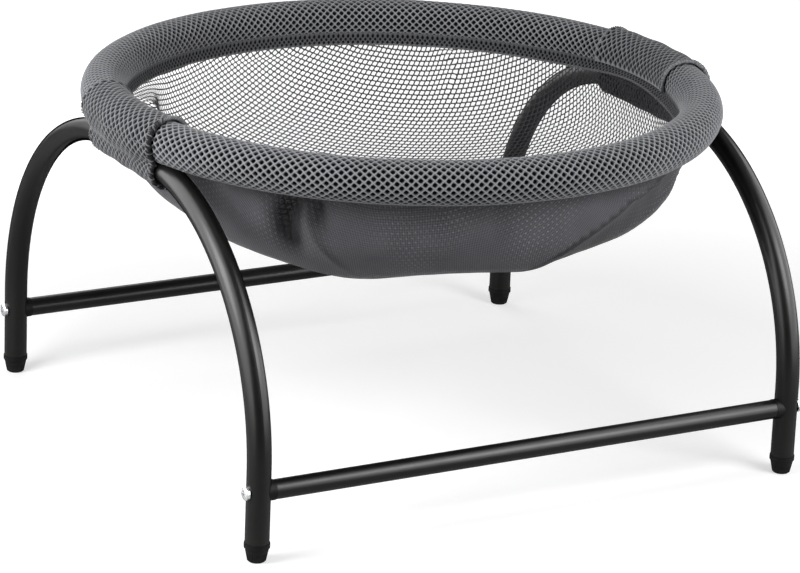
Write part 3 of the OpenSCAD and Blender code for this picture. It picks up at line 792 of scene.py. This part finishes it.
def makeHem(spec):
    wide = 2 * math.pi * hammock["rimR"]
    bm = bmesh.new()
    bmesh.ops.create_grid(bm, x_segments=spec["around"], y_segments=spec["rows"], size=0.5)
    bmesh.ops.scale(bm, vec=(wide, spec["height"], 1), verts=bm.verts)
    diamonds = makeDiamonds(bm, bm.faces[:])
    bmesh.ops.bisect_edges(bm, edges=bm.edges, cuts=1)
    bm.normal_update()
    openHoles(bm, diamonds, spec, flatHole(spec["holeAlong"], spec["holeAcross"]))
    flat = placesOf(bm.verts)
    angle, down = 2 * np.pi * flat[:, 0] / wide, 0.5 - flat[:, 1] / spec["height"]
    share = 1 - np.maximum(0, down - spec["tuck"]) * spec["height"] / reachAt(angle)
    hung = onBowl(angle, share, spec["lift"] - flat[:, 2])
    # its top is sewn to the rim
    tilt = edgeTilt(angle, basinSpec) - math.radians(spec["tuckTurn"])
    r = hammock["rimR"] - (hammock["tubeR"] + flat[:, 2]) * np.cos(tilt)
    z = hammock["rimZ"] - hammock["tubeR"] * np.sin(tilt)
    sewn = np.stack([r * np.cos(angle), r * np.sin(angle), z], -1)
    near = np.clip(1 - down / spec["tuck"], 0, 1)[:, None]
    moveVerts(bm.verts, hung * (1 - near) + sewn * near)
    bmesh.ops.remove_doubles(bm, verts=bm.verts, dist=mergeGap)
    bmesh.ops.reverse_faces(bm, faces=bm.faces)
    return finishPiece(bm, "hemBand", [hemStrands, holeBacking])


def ringFacing(low, high):
    # the second ring's corners in the order in which they face the first one's
    turns = [high[k:] + high[:k] for k in range(len(high))]
    return min(turns, key=lambda ring: sum((a.co - b.co).length for a, b in zip(low, ring)))


def sweepThread(bm, points, radius, sides=5, closed=False):
    # a thin round thread along points, ring by ring
    points = [Vector(p) for p in points]
    count = len(points)
    rings = []
    for k, p in enumerate(points):
        ahead = points[(k + 1) % count] if closed or k + 1 < count else points[k]
        behind = points[k - 1] if closed or k > 0 else points[k]
        place = (ahead - behind).normalized().to_track_quat("Z", "Y").to_matrix().to_4x4()
        place.translation = p
        ring = bmesh.ops.create_circle(bm, segments=sides, radius=radius, matrix=place, cap_ends=False)
        rings.append(ring["verts"])
    pairs = list(zip(rings, rings[1:])) + ([(rings[-1], rings[0])] if closed else [])
    for low, high in pairs:
        high = ringFacing(low, high)
        for i in range(sides):
            j = (i + 1) % sides
            bm.faces.new((low[i], low[j], high[j], high[i]))
    if not closed:
        bm.faces.new(rings[0][::-1])
        bm.faces.new(rings[-1])


hemSeamSpec = {"waves": 330, "perWave": 6, "swing": 0.0006, "down": 0.93, "lift": 0.0002, "thread": 0.00026,
               "sides": 4}


def makeHemSeam(spec, hem):
    count = spec["waves"] * spec["perWave"]
    step = np.arange(count) / count
    angle = 2 * np.pi * step - math.pi
    swing = spec["swing"] * np.sin(2 * np.pi * spec["waves"] * step)
    share = 1 - (hem["height"] * (spec["down"] - hem["tuck"]) + swing) / reachAt(angle)
    line = onBowl(angle, share, np.full(count, hem["lift"] - spec["lift"]))
    bm = bmesh.new()
    sweepThread(bm, line, spec["thread"], sides=spec["sides"], closed=True)
    bmesh.ops.recalc_face_normals(bm, faces=bm.faces)
    return finishPiece(bm, "hemSeam", [greyThread])


hemBand, hemSeam = makeHem(hemSpec), makeHemSeam(hemSeamSpec, hemSpec)
for piece, slotName in ((basinBack, "basin_mesh"), (basinNet, "basin_mesh"),
                        (hemBand, "black_tape"), (hemSeam, "air_mesh")):
    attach(piece, "stand")
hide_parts("basin")
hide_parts("hem_tape")


# Flaps: one sheet each, from inside the rim over its top, down the arch and round it

flapSpec = {
    "width": 0.097, "thick": 0.002, "start": 195, "end": -50, "hingeU": 0.0099, "endW": 0.0018,
    "fall": 0.00054, "ringU": -0.0015, "ringR": 0.0114, "tabH": 0.005,
    "columns": 49, "samples": 320, "rimSteps": 62, "loopSteps": 40, "tabSteps": 6, "smoothing": 12,
    "across": 17, "cells": 22, "strand": 0.0009, "sink": 0.00035, "wall": 0.00012, "dip": 0.0012,
    "shade": 0.20, "holeAcross": 0.00122, "holeAlong": 0.00208,
    "border": 0.0028, "borderFade": 0.001, "darkFrom": 0.27, "darkFade": 0.06,
    "wobble": 0.0007, "wobbleRate": 260, "pull": 0.0004, "pullRate": 210, "pullStart": 0.6,
    "pullLimit": -0.0002, "rise": 0.0009, "riseReach": 0.005, "riseUntil": 0.5,
    "blendWay": (-0.40, -0.917), "blendBefore": 0.0012, "blendAfter": 0.0015,
}


def flapTable(side, spec):
    half = spec["width"] / 2
    halfAngle = math.asin(half / hammock["rimR"])
    ring = hammock["tubeR"] + hammock["seatGap"] + spec["thick"] / 2
    turn = np.radians(np.linspace(spec["start"], spec["end"], spec["rimSteps"]))
    r, z = hammock["rimR"] + ring * np.cos(turn), hammock["rimZ"] + ring * np.sin(turn)
    # under the arch: offsets outwards and upwards from the top of its axis
    down = [(spec["hingeU"], spec["endW"]), (spec["hingeU"], 0)]
    loop = [(spec["ringU"] + spec["ringR"] * math.cos(b), spec["ringR"] * math.sin(b) - spec["fall"])
            for b in np.radians(np.linspace(0, -180, spec["loopSteps"]))]
    up = [(spec["ringU"] - spec["ringR"], w) for w in np.linspace(0, spec["tabH"], spec["tabSteps"])]
    table = []
    for t in np.linspace(-1, 1, spec["columns"]):
        rim = np.stack([r * math.cos(t * halfAngle), r * math.sin(t * halfAngle), z], -1)
        low = np.array([(hammock["legX"] + u, t * half, hammock["archTop"] + w) for u, w in down + loop + up])
        table.append(np.concatenate([rim, low]))
    middle = table[spec["columns"] // 2]
    length = np.concatenate([[0], np.cumsum(np.linalg.norm(np.diff(middle, axis=0), axis=-1))])
    smooth = evenSteps(table, [length] * spec["columns"], spec["samples"])
    for _ in range(spec["smoothing"]):  # rounds the tuck between rim and arch
        smooth[:, 1:-1] = smooth[:, 1:-1] * 0.5 + (smooth[:, :-2] + smooth[:, 2:]) * 0.25
    points, normals = surfaceTable(smooth)
    onRim = spec["samples"] // 3
    out = points[:, onRim] - (hammock["rimR"], 0, hammock["rimZ"])
    normals = normals * np.sign((normals[:, onRim] * out).sum(-1))[:, None, None]
    if side < 0:
        points, normals = points * (-1, 1, 1), normals * (-1, 1, 1)
    return (points, normals), float(length[-1])


def flapPlaces(table, length, spec, flat):
    # flat.x across, flat.y along from the middle, flat.z from the outer face
    wobble = spec["wobble"] * np.sin(flat[:, 1] * spec["wobbleRate"]) * (2 * flat[:, 0] / spec["width"]) ** 3
    across = (flat[:, 0] + wobble) / spec["width"] + 0.5
    along = 0.5 - flat[:, 1] / length
    pull = np.sin(flat[:, 0] * spec["pullRate"] + spec["pullStart"]) * np.sin(math.pi * np.clip(along, 0, 1))
    fromSide = spec["width"] / 2 - np.abs(flat[:, 0])
    rise = spec["rise"] * np.exp(-(fromSide / spec["riseReach"]) ** 2) * (along < spec["riseUntil"])
    lift = np.maximum(spec["pull"] * pull, spec["pullLimit"]) + rise
    return onSurface(table, across, along, spec["thick"] / 2 + flat[:, 2] + lift)


def makeFlap(name, side, spec, darkEdge):
    table, length = flapTable(side, spec)
    bm = bmesh.new()
    bmesh.ops.create_grid(bm, x_segments=spec["across"], y_segments=spec["cells"], size=0.5)
    bmesh.ops.scale(bm, vec=(spec["width"], length, 1), verts=bm.verts)
    top = bm.faces[:]
    back = bmesh.ops.duplicate(bm, geom=bm.verts[:] + bm.edges[:] + top)["geom"]
    backFaces = [g for g in back if isinstance(g, bmesh.types.BMFace)]
    backEdges = [g for g in back if isinstance(g, bmesh.types.BMEdge)]
    backVerts = [g for g in back if isinstance(g, bmesh.types.BMVert)]
    bmesh.ops.translate(bm, vec=(0, 0, -spec["thick"]), verts=backVerts)
    bmesh.ops.reverse_faces(bm, faces=backFaces)
    rimEdges = [e for e in bm.edges if len(e.link_faces) == 1]
    bmesh.ops.bridge_loops(bm, edges=rimEdges)
    inner = [e for e in backEdges if e.is_valid and all(f.normal.z < -0.5 for f in e.link_faces)]
    bmesh.ops.subdivide_edges(bm, edges=inner, cuts=1, use_grid_fill=True)
    diamonds = makeDiamonds(bm, [f for f in top if f.is_valid])
    edges = list({e for f in diamonds for e in f.edges if all(g.normal.z > 0.5 for g in e.link_faces)})
    bmesh.ops.bisect_edges(bm, edges=edges, cuts=1)
    bm.normal_update()
    openHoles(bm, diamonds, spec, flatHole(spec["holeAcross"], spec["holeAlong"]))
    bmesh.ops.recalc_face_normals(bm, faces=bm.faces)
    flat = placesOf(bm.verts)
    border = bm.verts.layers.float.new("border")
    fromFront, along = spec["width"] / 2 + flat[:, 0], 0.5 - flat[:, 1] / length
    atFront = np.clip((spec["border"] - fromFront) / spec["borderFade"], 0, 1)
    lowDown = np.clip((along - spec["darkFrom"]) / spec["darkFade"], 0, 1)
    for v, share in zip(bm.verts, atFront * lowDown):
        v[border] = float(share) * darkEdge
    moveVerts(bm.verts, flapPlaces(table, length, spec, flat))
    return finishPiece(bm, name, [flapStrands, holeBacking]), table, length


stitchSpec = {
    "step": 0.0019, "endGap": 0.001, "slant": 0.0011, "lean": 0.8, "unevenRates": (2.3, 0.9), "greyEvery": 3,
    "plain": {"reach": 0.0028, "radius": 0.00032, "uneven": 0.15},
    "dark": {"reach": 0.0036, "radius": 0.00045, "uneven": 0.45},
    # share of the reach inwards, overhang, share of the thickness down, height, share of the slant
    "loop": [(1, 0, 0, 0.0003, 0), (0.4, 0, 0, 0.00045, 0.4), (0, 0.0002, 0, -0.0002, 0.7),
             (0, 0.00035, 0.5, 0, 0.9), (0, 0.0002, 1, 0.0002, 1.1), (0.5, 0, 1, -0.0003, 1.4)],
    "seamAt": 0.78, "seamEnds": 0.010, "seamStart": 0.006, "seamStep": 0.0050, "seamLong": 0.0034,
    "seamBend": 0.0007, "seamLow": -0.0002, "seamHigh": 0.0003, "seamThin": 0.8,
}


def makeFlapStitches(name, table, length, spec, stitch, darkEdge):
    bm = bmesh.new()
    half, thick = spec["width"] / 2, spec["thick"]
    count = int((length - 2 * stitch["endGap"]) / stitch["step"])
    fast, slow = stitch["unevenRates"]
    for sideways in (-1, 1):
        for k in range(count):
            y = length / 2 - stitch["endGap"] - (k + 0.5) * stitch["step"]
            dark = darkEdge and sideways < 0 and k > count * spec["darkFrom"]
            kind = stitch["dark" if dark else "plain"]
            uneven = math.sin(k * fast) * math.sin(k * slow + 1)
            reach = kind["reach"] * (1 + kind["uneven"] * uneven)
            slant = stitch["slant"] * (1 - stitch["lean"] * uneven)
            flat = np.array([(sideways * (half - inward * reach + over), y - slant * share, up - deep * thick)
                             for inward, over, deep, up, share in stitch["loop"]])
            before = len(bm.faces)
            sweepThread(bm, flapPlaces(table, length, spec, flat), kind["radius"])
            bm.faces.ensure_lookup_table()
            for f in bm.faces[before:]:
                f.material_index = int(dark and k % stitch["greyEvery"] > 0)
    # running stitches along the tuck between rim and arch
    ring = hammock["tubeR"] + hammock["seatGap"] + thick / 2
    y = length / 2 - math.radians(spec["start"] - spec["end"]) * ring * stitch["seamAt"]
    low, high, bend = stitch["seamLow"], stitch["seamHigh"], stitch["seamBend"]
    for k in range(int((spec["width"] - stitch["seamEnds"]) / stitch["seamStep"])):
        x = -half + stitch["seamStart"] + k * stitch["seamStep"]
        far = x + stitch["seamLong"]
        flat = np.array([(x, y, low), (x + bend, y, high), (far - bend, y, high), (far, y, low)])
        sweepThread(bm, flapPlaces(table, length, spec, flat), stitch["plain"]["radius"] * stitch["seamThin"])
    bmesh.ops.recalc_face_normals(bm, faces=bm.faces)
    return finishPiece(bm, name, [greyThread, blackThread])


# Closure: a loop tab under the rim and the two halves of its closing strip

closureSpec = {
    "tabMargin": 0.010, "stripMargin": 0.002, "tabU": 0.0084, "tabT": 0.0012, "stripT": 0.001, "gap": 0.0003,
    "tabLow": 0.001, "tabTop": 0.0108, "tabH": 0.005, "hookShort": 0.0001, "sewn": 0.001, "rimGap": 0.0002,
    "soft": 0.0003, "softSteps": 2, "cutsAcross": 24, "cutsUp": 5,
}


def makePatch(name, side, mat, halfWidth, uSpan, zSpan, spec):
    # a thin bevelled patch beside the arch tube, its top kept under the rim
    fromU, toU = uSpan
    low, top = zSpan
    bm = bmesh.new()
    bmesh.ops.create_cube(bm, size=1)
    bmesh.ops.scale(bm, vec=(abs(toU - fromU), 2 * halfWidth, top - low), verts=bm.verts)
    bmesh.ops.bevel(bm, geom=bm.edges[:], offset=spec["soft"], offset_type="OFFSET", affect="EDGES",
                    segments=spec["softSteps"], profile=0.5, material=-1)
    for axis, size, cuts in (((0, 1, 0), 2 * halfWidth, spec["cutsAcross"]),
                             ((0, 0, 1), top - low, spec["cutsUp"])):
        for k in range(1, cuts):
            bmesh.ops.bisect_plane(bm, geom=bm.verts[:] + bm.edges[:] + bm.faces[:], dist=mergeGap,
                                   plane_co=Vector(axis) * (size * (k / cuts - 0.5)), plane_no=axis)
    middleU = (fromU + toU) / 2
    for v in bm.verts:
        x = hammock["legX"] - middleU + v.co.x
        z = hammock["archTop"] + (low + top) / 2 + v.co.z
        inward = hammock["rimR"] - math.hypot(x, v.co.y)
        room = (hammock["tubeR"] + spec["gap"]) ** 2 - inward ** 2
        ceiling = hammock["rimZ"] - math.sqrt(max(room, 0)) - spec["rimGap"]
        share = (v.co.z + (top - low) / 2) / (top - low)
        lowZ = hammock["archTop"] + low
        v.co = (side * x, v.co.y, min(z, lowZ + share * (min(hammock["archTop"] + top, ceiling) - lowZ)))
    if side < 0:
        bmesh.ops.reverse_faces(bm, faces=bm.faces)
    bmesh.ops.recalc_face_normals(bm, faces=bm.faces)
    return finishPiece(bm, name, [mat])


tabHalf = flapSpec["width"] / 2 - closureSpec["tabMargin"]


def makeClosure(sideName, side, spec):
    stripHalf = tabHalf - spec["stripMargin"]
    loopU = spec["tabU"] + spec["tabT"]
    hookU = loopU + spec["stripT"] + spec["gap"]
    tab = makePatch(sideName + "LoopTab", side, flapStrands, tabHalf,
                    (spec["tabU"], loopU), (spec["tabLow"], spec["tabTop"]), spec)
    loop = makePatch(sideName + "LoopStrip", side, wovenTape, stripHalf,
                     (loopU, loopU + spec["stripT"]), (spec["tabLow"], spec["tabLow"] + spec["tabH"]), spec)
    hook = makePatch(sideName + "HookStrip", side, wovenTape, stripHalf,
                     (hookU, hookU + spec["stripT"]), (0.0, spec["tabH"] - spec["hookShort"]), spec)
    return tab, loop, hook


def blendEnds(side, spec):
    # across the fold line, down and inwards, so that the whole tail goes with the strap
    fold = Vector((side * (hammock["legX"] + spec["hingeU"]), 0, hammock["archTop"]))
    outward, upward = spec["blendWay"]
    way = Vector((side * outward, 0, upward))
    return fold - way * spec["blendBefore"], fold + way * spec["blendAfter"]


for sideName, side in (("left", -1), ("right", 1)):
    body = sideName + "_strap"
    flap, table, length = makeFlap(sideName + "FlapSheet", side, flapSpec, side < 0)
    stitches = makeFlapStitches(sideName + "FlapStitches", table, length, flapSpec, stitchSpec, side < 0)
    start, end = blendEnds(side, flapSpec)
    for piece, slotName in ((flap, "air_mesh"), (stitches, "black_tape")):
        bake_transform(piece, "stand", body, start=start, end=end)
    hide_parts(sideName + "_flap", sideName + "_flap_tail")
    tab, loop, hook = makeClosure(sideName, side, closureSpec)
    for piece, owner, node, slotName in ((tab, "stand", "_loop_tab", "air_mesh"),
                                         (loop, "stand", "_loop_strip", "black_tape"),
                                         (hook, body, "_hook_strip", "black_tape")):
        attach(piece, owner)
        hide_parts(sideName + node)
print("flaps and closures made")


# Studio: pale floor, soft light, white behind

studio = {
    "floorSize": 14.0, "floorDrop": 0.0002, "floorColour": 0.60,
    "floorWhite": (0.53, 1.0), "whiteFrom": (0.37, 0.90), "ambient": 0.19, "lampAim": (0, 0, 0.14),
    "softboxes": [
        {"name": "leftSoftbox", "place": (-0.80, -0.12, 0.60), "size": (0.45, 0.45), "energy": 7.8},
        {"name": "rightSoftbox", "place": (0.44, -0.80, 0.60), "size": (0.45, 0.45), "energy": 6.5},
        {"name": "topSoftbox", "place": (0.1, 0.0, 1.9), "size": (1.4, 1.4), "energy": 2},
        {"name": "rearSoftbox", "place": (0.05, 0.95, 0.30), "size": (0.6, 0.6), "energy": 2.6},
    ],
    # panels show only as highlights on the tubes
    "panels": [
        {"name": "leftPanel", "place": (-0.64, 0.05, 0.48), "size": (1.50, 1.00), "energy": 25},
        {"name": "rightPanel", "place": (0.62, -0.44, 0.48), "size": (1.60, 1.00), "energy": 23},
        {"name": "rearPanel", "place": (-0.35, 0.95, 0.55), "size": (1.40, 0.90), "energy": 4},
    ],
}


def seenDirectly(tree):
    # 1 for what the camera sees itself or through something clear
    path = tree.nodes.new("ShaderNodeLightPath")
    return mathNode(tree, "MAXIMUM", path.outputs["Is Camera Ray"], path.outputs["Is Transmission Ray"])


def makeFloor(spec):
    bm = bmesh.new()
    bmesh.ops.create_grid(bm, x_segments=4, y_segments=4, size=spec["floorSize"] / 2)
    bmesh.ops.translate(bm, vec=(0, 0, -spec["floorDrop"]), verts=bm.verts)
    mat = bpy.data.materials.new("paleFloor")
    mat.use_nodes = True
    tree = mat.node_tree
    tree.nodes.remove(tree.nodes["Principled BSDF"])
    plain = addNode(tree, "ShaderNodeBsdfDiffuse", Color=(*[spec["floorColour"]] * 3, 1))
    away = addNode(tree, "ShaderNodeVectorMath", operation="LENGTH", i0=objectPlace(tree)).outputs["Value"]
    white = rangeNode(tree, away, *spec["whiteFrom"], *spec["floorWhite"])  # whiter away from the object
    share = mathNode(tree, "MULTIPLY", seenDirectly(tree), white)
    shine = addNode(tree, "ShaderNodeEmission", Color=(1, 1, 1, 1), Strength=share)
    both = addNode(tree, "ShaderNodeAddShader", i0=plain.outputs[0], i1=shine.outputs[0])
    tree.links.new(both.outputs[0], tree.nodes["Material Output"].inputs["Surface"])
    floor = finishPiece(bm, "floor", [mat], smooth=False)


def makeWorld(spec):
    world = bpy.data.worlds.new("whiteStudio")
    world.use_nodes = True
    tree = world.node_tree
    strength = rangeNode(tree, seenDirectly(tree), low=spec["ambient"])
    tree.links.new(strength, tree.nodes["Background"].inputs["Strength"])
    tree.nodes["Background"].inputs["Color"].default_value = (1, 1, 1, 1)
    bpy.context.scene.world = world


def makeLamps(spec):
    for kind in ("softboxes", "panels"):
        for lamp in spec[kind]:
            data = bpy.data.lights.new(lamp["name"], "AREA")
            data.shape = "RECTANGLE"
            data.energy = lamp["energy"]
            data.size, data.size_y = lamp["size"]
            light = bpy.data.objects.new(lamp["name"], data)
            light.location = lamp["place"]
            aim = Vector(spec["lampAim"]) - light.location
            light.rotation_euler = aim.to_track_quat("-Z", "Y").to_euler()
            light.visible_camera = False
            light.visible_diffuse = kind == "softboxes"
            bpy.context.scene.collection.objects.link(light)


makeFloor(studio)
makeWorld(studio)
makeLamps(studio)
bpy.context.scene.view_settings.view_transform = "Standard"
print("studio made")
